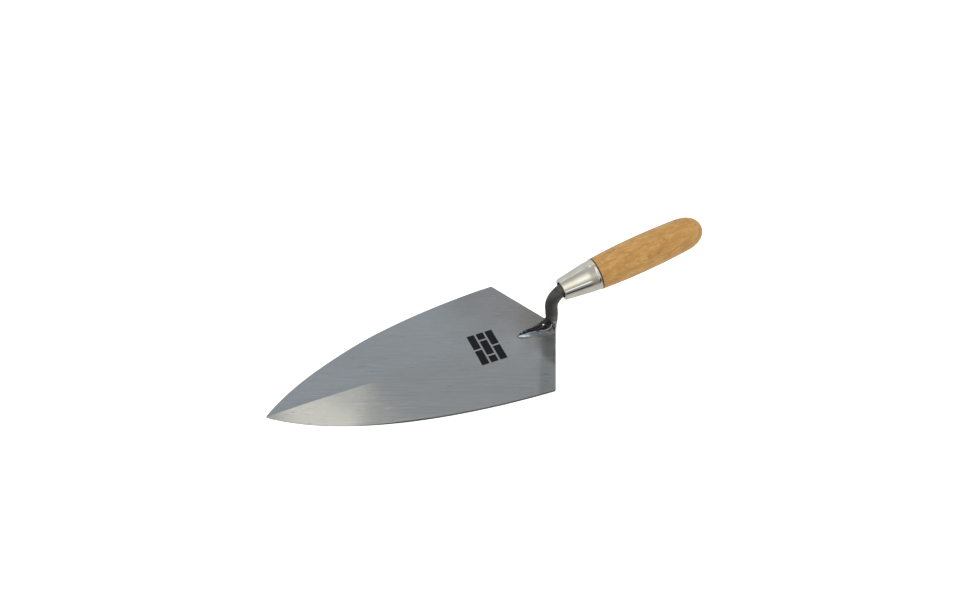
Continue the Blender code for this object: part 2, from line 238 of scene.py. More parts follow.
def bezier(start, near_start, near_end, end, t):
    """Point of a cubic curve with two control points."""
    s = 1.0 - t
    return start * s**3 + near_start * (3 * s * s * t) + near_end * (3 * s * t * t) + end * t**3


def skin(bm, rings):
    """Quads between neighbouring closed rings of equally many points."""
    loops = [[bm.verts.new(point) for point in ring] for ring in rings]
    count = len(loops[0])
    for low, high in zip(loops, loops[1:]):
        for k in range(count):
            nxt = (k + 1) % count
            bm.faces.new((low[k], low[nxt], high[nxt], high[k]))
    return loops


def tube(bm, rings):
    """Skin over a row of rings, with both ends closed."""
    loops = skin(bm, rings)
    bm.faces.new(loops[0])
    bm.faces.new(loops[-1])
    return bm


def turned_mesh(profile, steps, closed):
    """Surface of revolution about the handle's axis from (distance, radius) pairs."""
    bm = bmesh.new()
    columns = []
    turns = [2 * math.pi * k / steps for k in range(steps)]
    spokes = [AXIS_UP * math.cos(a) + SIDEWAYS * math.sin(a) for a in turns]
    for along, radius in profile:
        centre = MOUTH + AXIS * along
        if radius < 1e-9:
            columns.append([bm.verts.new(centre)] * steps)
        else:
            columns.append([bm.verts.new(centre + spoke * radius) for spoke in spokes])
    pairs = list(zip(columns, columns[1:]))
    if closed:
        pairs.append((columns[-1], columns[0]))
    for low, high in pairs:
        for k in range(steps):
            nxt = (k + 1) % steps
            corners = []
            for vert in (low[k], low[nxt], high[nxt], high[k]):
                if vert not in corners:
                    corners.append(vert)
            bm.faces.new(corners)
    return bm


def arc(centre, radius, start, end, steps):
    """Points of a circular arc in a plane, angles in degrees."""
    turns = [math.radians(start + (end - start) * k / steps) for k in range(steps + 1)]
    return [(centre[0] + radius * math.cos(a), centre[1] + radius * math.sin(a)) for a in turns]


# ---- blade

def corner_arc():
    """Rounded heel corner, from the side curve round to the heel edge."""
    steps = 6
    corner = Vector((HEEL_X - CORNER_SETBACK, HALF_WIDTH))
    back = Vector((-SIDE_NEAR_HEEL[0], SIDE_NEAR_HEEL[1] - HALF_WIDTH)).normalized()
    inward = Vector((CORNER_SETBACK, -HALF_WIDTH)).normalized()
    half_angle = back.angle(inward) / 2
    middle = (back + inward).normalized()
    centre = corner + middle * (CORNER_ROUND / math.sin(half_angle))
    tangent = CORNER_ROUND / math.tan(half_angle)
    start = corner + back * tangent - centre
    end = corner + inward * tangent - centre
    return [centre + start.slerp(end, k / steps) * CORNER_ROUND for k in range(steps + 1)]


def side_outline():
    """Half the blade's outline, from the round tip along the side to the heel edge."""
    tip_steps = 6
    side_steps = 130
    spacing = 0.0005
    points = [Vector((TIP_X + TIP_ROUND * (1 - math.cos(a)), TIP_ROUND * math.sin(a)))
              for a in np.linspace(*TIP_ARC, tip_steps)]
    rounding = corner_arc()
    start = Vector((TIP_X, TIP_HALF_WIDTH))
    near_tip = Vector((TIP_X + SIDE_NEAR_TIP[0], SIDE_NEAR_TIP[1]))
    corner = Vector((HEEL_X - CORNER_SETBACK, HALF_WIDTH))
    near_heel = Vector((corner.x - SIDE_NEAR_HEEL[0], SIDE_NEAR_HEEL[1]))
    for t in np.linspace(0.006, 1.0, side_steps):
        point = bezier(start, near_tip, near_heel, corner, t)
        if point.x < rounding[0].x - spacing:
            points.append(point)
    return points + rounding


def heel_drop(x, y):
    """Fall of the ground band beside each heel edge; it starts and ends softly."""
    depth = HEEL_X - (x + SLANT * abs(y))
    share = clamp(1.0 - depth / HEEL_BAND)
    soft = share * share / (share + HEEL_SOFTNESS) * (1.0 + HEEL_SOFTNESS)
    return HEEL_DROP * (1.0 - (1.0 - min(soft, 1.0)) ** HEEL_HOLLOW)


def blade_top(x, y, across):
    """Height of the upper surface; across is 0 on the centreline and 1 at the rim.

    Two facets slope from a sharp ridge at the tip and die away into the flat plate."""
    from_tip = x - TIP_X
    swell = 1.0 - (1.0 - clamp(from_tip / RIDGE_RUN)) ** 2
    flatness = ease((from_tip - ROOF_LENGTH) / ROOF_FADE)
    rim = TIP_THICKNESS + (PLATE_TOP - TIP_THICKNESS) * flatness
    ridge = TIP_THICKNESS + (PLATE_TOP - TIP_THICKNESS) * swell
    power = 1.0 + (RIDGE_POWER - 1.0) * flatness
    waves = WAVINESS * noise.noise(Vector((x, y, 0.0)) / WAVE_LENGTH)
    return rim + (ridge - rim) * (1.0 - across) ** power - heel_drop(x, y) + waves


def blade_section(middle_x, rim, lower):
    """Closed ring across the blade, and how many of its points lie on one side.

    lower draws both faces in where the blade's end is chamfered."""
    steps = 26
    shares = [0.5 - 0.5 * math.cos(math.pi * k / steps) for k in range(steps + 1)]
    reach = math.hypot(rim.x - middle_x, rim.y)
    inner = 1.0 - min(EDGE_BREAK / reach, 0.4)
    top, bottom = [], []
    for share in shares:
        x = middle_x + (rim.x - middle_x) * share * inner
        y = rim.y * share * inner
        top.append(Vector((x, y, blade_top(x, y, share) - lower)))
        bottom.append(Vector((x, y, lower)))
    rim_top = blade_top(rim.x, rim.y, 1.0)
    wall = [Vector((rim.x, rim.y, rim_top - EDGE_BREAK)), Vector((rim.x, rim.y, EDGE_BREAK))]
    half = top + wall + bottom[::-1]
    other = [Vector((p.x, -p.y, p.z)) for p in half[-2:0:-1]]
    return half + other, len(half)


def build_blade():
    """Rows that swing from square across the tip to parallel with the heel edges."""
    rows = []
    tip_depth = BLADE_HIGH.x - TIP_X
    for rim in side_outline():
        depth = HEEL_X - (rim.x + SLANT * rim.y)
        share = clamp(1.0 - (depth - HEEL_BAND) / (tip_depth - HEEL_BAND))
        rows.append((rim.x + SLANT * share**2 * rim.y, rim))
    rings = [blade_section(middle, rim, 0.0)[0] for middle, rim in rows]
    middle, rim = rows[-1]
    step = Vector((EDGE_BREAK, 0.0))
    rings[-1] = blade_section(middle - step.x, rim - step, 0.0)[0]
    last, count = blade_section(middle, rim, EDGE_BREAK)
    rings.append(last)
    bm = bmesh.new()
    loops = skin(bm, rings)
    for loop in (loops[0], loops[-1]):
        size = len(loop)
        for k in range(count // 2 - 1):
            bm.faces.new((loop[k], loop[k + 1], loop[count - 2 - k], loop[count - 1 - k]))
            near = [loop[(size - k) % size], loop[size - k - 1]]
            far = [loop[count + k], loop[count - 1 + k]]
            bm.faces.new(near + far)
    return finish_piece("blade_ground", bm, sharp_degrees=30)


def build_print():
    """Thin film of ink: three courses of bricks in stretcher bond."""
    bm = bmesh.new()
    full = (COURSE_LENGTH - JOINT_WIDTH) / 2
    half = (full - JOINT_WIDTH) / 2
    for course in range(3):
        lengths = (full, full) if course % 2 == 0 else (half, full, half)
        x = HEEL_X + PRINT_CENTRE[0] + (course - 1) * (COURSE_HEIGHT + JOINT_WIDTH)
        y = PRINT_CENTRE[1] - COURSE_LENGTH / 2
        for length in lengths:
            add_brick(bm, x, y + length / 2, length)
            y += length + JOINT_WIDTH
    return finish_piece("printed_mark", bm, sharp_degrees=30)


def add_brick(bm, x, y, length):
    """One printed brick: a flat slab with rounded corners."""
    surface = PLATE_TOP + WAVINESS
    outline = []
    for sx, sy, start in ((1, 1, 0), (-1, 1, 90), (-1, -1, 180), (1, -1, 270)):
        centre = (x + sx * (COURSE_HEIGHT / 2 - BRICK_CORNER), y + sy * (length / 2 - BRICK_CORNER))
        outline += arc(centre, BRICK_CORNER, start, start + 90, 4)
    heights = (surface, surface + PRINT_FILM)
    tube(bm, [[(px, py, z) for px, py in outline] for z in heights])


# ---- shank

def squared_ring(centre, direction, half, squareness):
    """Ring across a direction in the plane Y = 0, round or squared."""
    steps = 32
    up = direction.cross(SIDEWAYS)
    ring = []
    for k in range(steps):
        turn = 2 * math.pi * k / steps
        c, s = math.cos(turn), math.sin(turn)
        radius = half / (abs(c) ** squareness + abs(s) ** squareness) ** (1.0 / squareness)
        ring.append(centre + (up * c + SIDEWAYS * s) * radius)
    return ring


def leg_radius(z):
    """The leg is drawn down towards the plate."""
    rest = clamp(1.0 - (z - PLATE_TOP) / TAPER_HEIGHT)
    return BAR_RADIUS - LEG_TAPER * rest**2


def leg_centre(z):
    """Place along X of the leaning leg's centre at a height."""
    return HEEL_X + LEG_FOOT[0] - (z - LEG_FOOT[1]) * math.tan(LEG_LEAN)


def bar_path():
    """Centreline of the leaning leg and the bend up to the handle's axis."""
    leg_steps, bend_steps = 16, 24
    leg = Vector((-math.sin(LEG_LEAN), 0.0, math.cos(LEG_LEAN)))
    start_z = PLATE_TOP - SUNK
    foot = Vector((leg_centre(start_z), 0.0, start_z))
    across = MOUTH - foot
    spread = leg.x * AXIS.z - leg.z * AXIS.x
    bend_corner = foot + leg * ((across.x * AXIS.z - across.z * AXIS.x) / spread)
    bend_angle = leg.angle(AXIS)
    bend_start = bend_corner - leg * (BEND_RADIUS * math.tan(bend_angle / 2))
    inward = Vector((leg.z, 0.0, -leg.x))
    centre = bend_start + inward * BEND_RADIUS
    path = [(foot.lerp(bend_start, k / leg_steps), leg) for k in range(leg_steps)]
    for k in range(bend_steps + 1):
        a = bend_angle * k / bend_steps
        spot = centre - inward * (BEND_RADIUS * math.cos(a)) + leg * (BEND_RADIUS * math.sin(a))
        path.append((spot, leg * math.cos(a) + inward * math.sin(a)))
    return path


def leaf(x, point, widest, half_width):
    """Half width of a leaf shape that widens from its point to its widest place."""
    share = clamp((x - point) / (widest - point))
    return half_width * (1.0 - (1.0 - share) ** LEAF_POWER)


def foot_half_width(x):
    """Half width of the foot in plan; x is measured from the heel vertex."""
    if x <= FOOT_WIDEST:
        return leaf(x, FOOT_POINT, FOOT_WIDEST, FOOT_HALF_WIDTH)
    share = (x - FOOT_WIDEST) / (FOOT_REAR - FOOT_WIDEST)
    return FOOT_HALF_WIDTH * math.sqrt(max(1.0 - share**2, 0.0))


def ridge_line():
    """Points (x, z) along the foot's top, from its point into the leg and down behind."""
    line = [tuple(bezier(Vector(RIDGE_START), Vector(RIDGE_RISE), Vector(RIDGE_DIP),
                         Vector(RIDGE_TOP), t)) for t in np.linspace(0.0, 1.0, 26)]
    for share in (0.15, 0.3, 0.45, 0.6, 0.75, 0.87, 0.95, 0.99):
        line.append((RIDGE_TOP[0] + (FOOT_REAR - RIDGE_TOP[0]) * share,
                     RIDGE_TOP[1] + (FOOT_REAR_Z - RIDGE_TOP[1]) * share))
    return line


def foot_section(x, ridge_z, half_width):
    """Arched section across the foot, sunk a little into the blade."""
    steps = 24
    base = PLATE_TOP - heel_drop(HEEL_X + x, 0.0) - SUNK
    section = []
    for k in range(steps + 1):
        angle = math.pi * k / steps
        y = half_width * math.copysign(abs(math.cos(angle)) ** FOOT_ARCH, math.cos(angle))
        height = (ridge_z - base) * abs(math.sin(angle)) ** FOOT_ARCH
        section.append(Vector((HEEL_X + x, y, base + height)))
    return section


def inside_shank(spot, line):
    """Whether a point lies within the leg or the foot; line is the foot's ridge line."""
    if math.hypot(spot.x - leg_centre(spot.z), spot.y) < leg_radius(spot.z):
        return True
    x = spot.x - HEEL_X
    width = foot_half_width(x)
    if x <= line[0][0] or x >= line[-1][0] or abs(spot.y) >= width:
        return False
    ridge_z = np.interp(x, [p[0] for p in line], [p[1] for p in line])
    share = clamp((spot.z - PLATE_TOP) / (ridge_z - PLATE_TOP))
    reach = (1.0 - share ** (2 / FOOT_ARCH)) ** (FOOT_ARCH / 2)
    return abs(spot.y) < width * reach


def foot_mesh():
    """Spear-shaped foot, closed and ready to be joined to the bar."""
    rings = [foot_section(x, z, max(foot_half_width(x), FOOT_EDGE)) for x, z in ridge_line()]
    return finish_piece("foot_shape", tube(bmesh.new(), rings))


def bar_mesh():
    """Leg, bend, neck and tapered square tang in one closed tube."""
    rings = [squared_ring(spot, way, leg_radius(spot.z), ROUND) for spot, way in bar_path()]
    for share in (0.4, 0.7, 1.0):
        half = BAR_RADIUS + (TANG_HALF[0] - BAR_RADIUS) * share
        spot = MOUTH + AXIS * (NECK_START + (TANG_SHOULDER - NECK_START) * share)
        rings.append(squared_ring(spot, AXIS, half, ROUND + (SQUARED - ROUND) * share))
    for share in (0.5, 0.97, 1.0):
        half = TANG_HALF[0] + (TANG_HALF[1] - TANG_HALF[0]) * share
        if share == 1.0:
            half *= TANG_TIP
        spot = MOUTH + AXIS * (TANG_SHOULDER + (TANG_END - TANG_SHOULDER) * share)
        rings.append(squared_ring(spot, AXIS, half, SQUARED))
    return finish_piece("bar_shape", tube(bmesh.new(), rings))


def voxel_skin(piece, voxel_size):
    """Bmesh of a piece's voxel remesh; the piece itself is removed."""
    remesh = piece.modifiers.new("skin", "REMESH")
    remesh.mode = "VOXEL"
    remesh.voxel_size = voxel_size
    graph = bpy.context.evaluated_depsgraph_get()
    mesh = bpy.data.meshes.new_from_object(piece.evaluated_get(graph), depsgraph=graph)
    bpy.data.objects.remove(piece)
    bm = bmesh.new()
    bm.from_mesh(mesh)
    return bm


def relax(bm, verts, rounds):
    """Smooth vertices in place."""
    for _ in range(rounds):
        bmesh.ops.smooth_vert(bm, verts=verts, factor=0.5, use_axis_x=True,
                              use_axis_y=True, use_axis_z=True)


def forge_surface(bm):
    """Blend the leg into the foot, then roughen the skin like hammered black iron."""
    root = Vector((HEEL_X + RIDGE_TOP[0], 0.0, 0.013))
    blend_reach = 0.008
    fold_end, fold_top = HEEL_X - 0.005, 0.014
    relax(bm, [v for v in bm.verts if (v.co - root).length < blend_reach], 5)
    relax(bm, bm.verts, 3)
    bm.normal_update()
    for vert in bm.verts:
        spot = vert.co
        dents = noise.noise(spot / DENTS[0]) * DENTS[1]
        scale = noise.noise(spot / SCALE_SKIN[0] + Vector((7.0, 1.0, 4.0))) * SCALE_SKIN[1]
        on_foot = ease((fold_end - spot.x) / 0.006) * ease((fold_top - spot.z) / 0.003)
        long_spot = Vector([value / size for value, size in zip(spot, FOOT_LUMPS)])
        folds = noise.noise(long_spot + Vector((2.0, 9.0, 5.0))) * FOLD_HEIGHT * on_foot
        vert.co += vert.normal * (dents + scale + folds)


def build_shank():
    """Bar and foot fused into one skin."""
    bar = bar_mesh()
    foot = foot_mesh()
    union = bar.modifiers.new("foot", "BOOLEAN")
    union.operation = "UNION"
    union.solver = "EXACT"
    union.object = foot
    bm = voxel_skin(bar, FORGE_VOXEL)
    bpy.data.objects.remove(foot)
    forge_surface(bm)
    return finish_piece("shank_forged", bm)


# ---- weld

def seam_outer(share, side):
    """Outer foot of the fillet on the plate, from the point to the heel vertex."""
    heel_run = WELD_HEEL_GAP / math.hypot(1.0, SLANT)
    turn_y = leaf(WELD_TURN, WELD_POINT, FOOT_WIDEST, WELD_HALF_WIDTH)
    turn_x = -turn_y * SLANT - heel_run
    if share < WELD_SIDE_END:
        x = WELD_POINT + (turn_x - WELD_POINT) * share / WELD_SIDE_END
        y = leaf(x, WELD_POINT, FOOT_WIDEST, WELD_HALF_WIDTH)
    else:
        back = (share - WELD_SIDE_END) / (1.0 - WELD_SIDE_END)
        y = turn_y * (1.0 - back)
        x = -y * SLANT - heel_run
    ragged = noise.noise(Vector((share * WELD_RAGGED[0], side * 3.0, 1.0))) * WELD_RAGGED[1]
    ragged *= ease(share * 5) * ease((WELD_SIDE_END - share) * 12)
    return Vector((HEEL_X + x, side * (y + ragged), 0.0))


def seam_crest(outer, share, side, line):
    """Where the weld's crest meets the shank, straight in from its outer foot."""
    steps = 240
    wander = noise.noise(Vector((share * WELD_WANDER[0], side * 5.0, 4.0))) * WELD_WANDER[1]
    climb = np.interp(share, *zip(*WELD_CLIMB)) + wander * ease(share * 4)
    height = PLATE_TOP + climb
    inner_x = HEEL_X + FOOT_POINT + INTO_FOOT
    inner_x += (leg_centre(height) - inner_x) * min(share / WELD_PEAK, 1.0)
    inner = Vector((inner_x, 0.0, height))
    start = Vector((outer.x, outer.y, height))
    for k in range(steps + 1):
        spot = start.lerp(inner, k / steps)
        if inside_shank(spot, line):
            return spot
    return inner


def weld_ring(share, side, line):
    """Section of the fillet: a hollow face, then a rounded bead along its crest."""
    face_steps = 7
    outer = seam_outer(share, side)
    crest = seam_crest(outer, share, side, line)
    ground = PLATE_TOP - heel_drop(outer.x, outer.y)
    outer.z = ground - SUNK
    inward = Vector((crest.x - outer.x, crest.y - outer.y, 0.0))
    width = inward.length
    inward = inward / width if width > 1e-6 else Vector((1.0, 0.0, 0.0))
    bead = min(BEAD_RADIUS, BEAD_SHARE * (crest.z - ground))
    face_width = max(width - bead, 0.0)
    face_top = crest.z - bead
    points = [Vector((crest.x, crest.y, ground - SUNK)) + inward * INTO_FOOT, outer]
    for k in range(face_steps + 1):
        u = k / face_steps
        rise = (face_top - ground) * u**WELD_HOLLOW
        points.append(Vector((outer.x, outer.y, ground + rise)) + inward * face_width * u)
    for degrees in (-60, -20, 20, 60, 100):
        a = math.radians(degrees)
        middle = Vector((outer.x, outer.y, crest.z)) + inward * (face_width + bead * BEAD_SET_IN)
        points.append(middle - inward * bead * math.cos(a) + Vector((0, 0, bead * math.sin(a))))
    points.append(crest + inward * INTO_CREST)
    return points


def build_weld():
    """Fillet of weld metal round the foot, closed behind the leg, with its spatter."""
    line = ridge_line()
    steps = 80
    shares = np.linspace(WELD_START, 1.0, steps + 1)
    rings = [weld_ring(share, 1, line) for share in shares]
    rings += [weld_ring(share, -1, line) for share in shares[-2::-1]]
    crests = [ring[CREST_POINT].copy() for ring in rings]
    bm = bmesh.new()
    rings.append(rings[0])
    skin(bm, rings)
    bmesh.ops.remove_doubles(bm, verts=bm.verts, dist=0.000002)
    for x, y, z, size in WELD_SPATTER:
        ball = bmesh.ops.create_icosphere(bm, subdivisions=2, radius=size)
        for vert in ball["verts"]:
            vert.co.x *= SPATTER_STRETCH
            vert.co += Vector((HEEL_X + x, y, z))
    bm = voxel_skin(finish_piece("weld_shape", bm), WELD_VOXEL)
    relax(bm, bm.verts, 2)
    bm.normal_update()
    for vert in bm.verts:
        rough = sum(noise.noise(vert.co / size) * height for size, height in WELD_SKIN)
        vert.co += vert.normal * rough * ease((vert.co.z - PLATE_TOP) / SKIN_FADE)
    piece = finish_piece("weld_fillet", bm)
    mark_crest(piece, crests)
    return piece


def mark_crest(piece, crests):
    """Store how near each vertex is to the crest of the bead, where a highlight is painted."""
    tree = KDTree(len(crests))
    for index, crest in enumerate(crests):
        tree.insert(crest, index)
    tree.balance()
    mark = piece.data.attributes.new("crest", "FLOAT", "POINT")
    for vert in piece.data.vertices:
        distance = tree.find(vert.co)[2]
        mark.data[vert.index].value = 1.0 - clamp(distance / CREST_REACH)


# ---- ferrule and handle

def outside_profile():
    """Ferrule from rim to mouth: flare, collar, cone and lip."""
    collar = (COLLAR_RADIUS - CONE_RADIUS) / (COLLAR_END - CONE_END)
    profile = arc((FERRULE_END - RIM_ROUND, RIM_RADIUS - RIM_ROUND), RIM_ROUND, 0, 90, 6)
    for share in np.linspace(0.0, 1.0, 13)[1:]:
        along = FLARE_TOP + (COLLAR_END - FLARE_INSET - FLARE_TOP) * share
        profile.append((along, RIM_RADIUS + (COLLAR_RADIUS - RIM_RADIUS) * ease(share)))
    for along in np.linspace(COLLAR_END - 1.5 * FLARE_INSET, CONE_END + CONE_BLEND, 5):
        profile.append((along, CONE_RADIUS + collar * (along - CONE_END)))
    for share in np.linspace(0.0, 1.0, 12)[1:]:
        past = CONE_BLEND * (1.0 - 2.0 * share)
        drop = (CONE_SLOPE - collar) * CONE_BLEND * share**2
        profile.append((CONE_END + past, CONE_RADIUS + collar * past - drop))
    for along in np.linspace(CONE_END - CONE_BLEND, LIP_ROUND, 16)[1:]:
        profile.append((along, MOUTH_RADIUS + CONE_SLOPE * along))
    edge = MOUTH_RADIUS + CONE_SLOPE * LIP_ROUND - LIP_ROUND
    profile += arc((LIP_ROUND, edge), LIP_ROUND, 90, 180, 8)[1:]
    return profile


def build_ferrule():
    """Turned shell: the outside, the lip rolled in at the mouth and the inside."""
    profile = outside_profile()
    profile += arc((LIP_ROUND, LIP_BORE + LIP_ROUND), LIP_ROUND, 180, 270, 8)
    inner = LIP_ROUND + FERRULE_WALL / 2
    profile += [(inner, LIP_BORE),
                (inner, MOUTH_RADIUS + CONE_SLOPE * inner - FERRULE_WALL),
                (CONE_END, CONE_RADIUS - FERRULE_WALL),
                (COLLAR_END, COLLAR_RADIUS - FERRULE_WALL),
                (FERRULE_END, COLLAR_RADIUS - FERRULE_WALL)]
    bm = turned_mesh(profile, 160, closed=True)
    return finish_piece("ferrule_plated", bm, sharp_degrees=50)


def grip_radius(along):
    """Gentle swell of the grip, closed by the rounded butt."""
    cubic = np.polyfit(GRIP_STATIONS, GRIP_RADII, 3)
    swell = np.polyval(cubic, (along - GRIP_START) / (GRIP_END - GRIP_START))
    into_butt = clamp((along - (GRIP_END - BUTT_LENGTH)) / BUTT_LENGTH)
    return swell * math.sqrt(max(1.0 - into_butt**BUTT_POWER, 0.0))


def build_handle():
    """Turned grip from butt to shoulder, then the spigot and its bore."""
    butt_steps = 24
    profile = [(GRIP_END, 0.0)]
    for k in range(1, butt_steps + 1):
        share = math.sin(math.pi / 2 * (1.0 - k / butt_steps))
        along = GRIP_END - BUTT_LENGTH + BUTT_LENGTH * share
        profile.append((along, grip_radius(along)))
    shoulder = GRIP_START + SHOULDER_ROUND
    for along in np.linspace(GRIP_END - BUTT_LENGTH, shoulder, 60)[1:]:
        profile.append((along, grip_radius(along)))
    edge = grip_radius(GRIP_START) - SHOULDER_ROUND
    profile += arc((shoulder, edge), SHOULDER_ROUND, 90, 180, 4)[1:]
    under = FERRULE_WALL + SPIGOT_GAP
    profile += [(GRIP_START, COLLAR_RADIUS - under),
                (COLLAR_END, COLLAR_RADIUS - under),
                (CONE_END, CONE_RADIUS - under),
                (SPIGOT_START, MOUTH_RADIUS + CONE_SLOPE * SPIGOT_START - under),
                (SPIGOT_START, BORE_MOUTH),
                (SPIGOT_START + THROAT_DEPTH, BORE_THROAT),
                (BORE_END, BORE_FLOOR),
                (BORE_END + BORE_POINT, 0.0)]
    bm = turned_mesh(profile, 144, closed=False)
    return finish_piece("handle_turned", bm, sharp_degrees=50)


# ---- materials

class Nodes:
    """Short way to add and join the nodes of one tree."""

    def __init__(self, tree, coordinate):
        self.tree = tree
        self.place = self.add("TexCoord").outputs[coordinate]

    def add(self, kind, inputs=None, **settings):
        node = self.tree.nodes.new("ShaderNode" + kind)
        for key, value in settings.items():
            setattr(node, key, value)
        for key, value in (inputs or {}).items():
            self.feed(node.inputs[key], value)
        return node

    def feed(self, socket, value):
        """Join a socket to another, or set its value; a colour is given without its alpha."""
        if isinstance(value, bpy.types.NodeSocket):
            self.tree.links.new(value, socket)
        elif socket.type == "RGBA":
            socket.default_value = (*value, 1.0)
        else:
            socket.default_value = value

    def mapped(self, scale=(1, 1, 1), turn=(0, 0, 0), shift=(0, 0, 0), source=None):
        return self.add("Mapping", {"Vector": source or self.place, "Scale": scale, "Rotation": turn,
                                    "Location": shift}).outputs["Vector"]

    def noise(self, scale, detail=3.0, roughness=0.55, distortion=0.0, **place):
        """Noise with its own scale on each axis."""
        return self.add("TexNoise", {"Vector": self.mapped(scale, **place), "Scale": 1.0,
                                     "Detail": detail, "Roughness": roughness,
                                     "Distortion": distortion}).outputs["Fac"]

    def math(self, operation, *values):
        return self.add("Math", dict(enumerate(values)), operation=operation).outputs[0]

    def times(self, *values):
        """Product of two or more values."""
        product = values[0]
        for value in values[1:]:
            product = self.math("MULTIPLY", product, value)
        return product

    def plus(self, a, b):
        return self.math("ADD", a, b)

    def minus(self, a, b):
        return self.math("SUBTRACT", a, b)

    def measure(self, operation, a, b):
        """A number from two vectors, such as their distance."""
        return self.add("VectorMath", {0: a, 1: b}, operation=operation).outputs["Value"]

    def range(self, value, low, high, out_low=0.0, out_high=1.0, smooth=True):
        """The value's place between low and high, which may run downwards, on a new scale."""
        kind = "SMOOTHSTEP" if smooth else "LINEAR"
        return self.add("MapRange", {"Value": value, "From Min": low, "From Max": high,
                                     "To Min": out_low, "To Max": out_high},
                        interpolation_type=kind).outputs[0]

    def mix(self, share, a, b, blend="MIX"):
        node = self.add("Mix", data_type="RGBA", blend_type=blend)
        self.feed(node.inputs[0], share)
        self.feed(node.inputs[6], a)
        self.feed(node.inputs[7], b)
        return node.outputs[2]

    def layer(self, base, colour, mask, amount):
        """A colour laid over the base where the mask says so."""
        return self.mix(self.times(mask, amount), base, colour)

    def tinted(self, colour, tone):
        """The colour times a grey tone."""
        grey = self.add("CombineXYZ", {0: tone, 1: tone, 2: tone}).outputs[0]
        return self.mix(1.0, colour, grey, "MULTIPLY")

    def split(self, vector=None):
        return self.add("SeparateXYZ", {"Vector": vector or self.place}).outputs


class Paint(Nodes):
    """The nodes of one new material."""

    def __init__(self, name):
        self.material = bpy.data.materials.new(name)
        self.material.use_nodes = True
        super().__init__(self.material.node_tree, "Object")
        self.shader = self.tree.nodes["Principled BSDF"]

    def set(self, **inputs):
        for key, value in inputs.items():
            self.feed(self.shader.inputs[key.replace("_", " ")], value)

    def bump(self, height, strength, distance):
        return self.add("Bump", {"Height": height, "Strength": strength,
                                 "Distance": distance}).outputs["Normal"]


def ground_steel():
    """Satin steel: grinding lines, faint clouding, a duller edge whose walls carry painted shade,
    heat by the weld, painted reflection tones and painted shade beside the weld.
    """
    p = Paint("ground_steel")
    ground = p.mapped(turn=(0, 0, GRIND_ANGLE))
    lines = p.noise((26, 1200, 900), detail=4.0, roughness=0.65, source=ground)
    streaks = p.noise((34, 420, 900), detail=4.0, shift=(1, 7, 0), source=ground)
    scratches = p.noise((90, 900, 900), detail=2.0, shift=(3, 1, 0), source=ground)
    clouds = p.noise((14, 22, 14))
    x, y, _ = p.split()
    # painted reflection: the steel is tinted bluer on the far half and darker towards the far heel
    near_side = p.range(y, 0.012, -0.006)
    steel = p.mix(near_side, (0.326, 0.344, 0.357), (0.316, 0.327, 0.33))
    heel_side = p.times(p.range(x, -0.11, -0.045), p.range(y, -0.01, 0.022))
    steel = p.mix(heel_side, steel, (0.264, 0.262, 0.259))
    steel = p.layer(steel, (0.338, 0.35, 0.356), p.range(clouds, 0.35, 0.68), 0.5)
    from_leg = p.measure("DISTANCE", p.place, (HEEL_X - 0.012, 0.002, 0.0))
    heat = p.range(p.math("MULTIPLY_ADD", clouds, 0.03, from_leg), 0.075, 0.027)
    browned = p.times(p.math("POWER", heat, 2.2), p.range(y, -0.004, 0.008))
    steel = p.layer(steel, (0.2, 0.189, 0.179), browned, 0.75)
    # painted shade beside the weld and along the heel band's inner edge
    steel = p.tinted(steel, painted_shade_tone(p, x, y))
    steel = p.layer(steel, (0.46, 0.46, 0.45), p.range(scratches, 0.66, 0.72), 0.45)
    steel = p.layer(steel, (0.17, 0.17, 0.17), p.range(scratches, 0.34, 0.28), 0.45)
    steel = p.tinted(steel, p.range(lines, 0.3, 0.7, 0.968, 1.032))
    steel = p.tinted(steel, p.range(streaks, 0.3, 0.7, 0.985, 1.015))
    upright = p.split(p.add("NewGeometry").outputs["True Normal"])[2]
    wall = p.range(p.math("ABSOLUTE", upright), 0.95, 0.6)
    # painted shade: the plate's edge walls are coloured dark, darkest towards the tip
    by_tip = p.range(x, TIP_X + 0.15, TIP_X + 0.1)
    steel = p.mix(wall, steel, p.mix(by_tip, (0.12, 0.12, 0.12), (0.03, 0.03, 0.03)))
    rough = p.plus(p.range(lines, 0.3, 0.7, 0.13, 0.165), p.times(wall, 0.3))
    rough = p.plus(rough, p.times(heat, 0.09))
    relief = p.plus(lines, p.times(scratches, 0.5))
    p.set(Base_Color=steel, Metallic=p.math("MULTIPLY_ADD", heat, -0.32, 1.0), Roughness=rough,
          Normal=p.bump(relief, 0.04, 0.00005))
    return p.material


def painted_shade_tone(p, x, y):
    """Painted shade on the steel beside the weld, darkest where the heel band begins."""
    depth = p.minus(HEEL_X, p.math("MULTIPLY_ADD", y, -SLANT, x))
    beside = p.times(p.range(y, -0.031, -0.012), p.range(y, 0.004, -0.002))
    strip = p.times(p.range(depth, 0.024, 0.017), p.range(depth, 0.0115, 0.0155))
    deep = p.plus(p.range(depth, 0.044, 0.024), strip)
    return p.minus(1.0, p.times(beside, deep, 0.2))


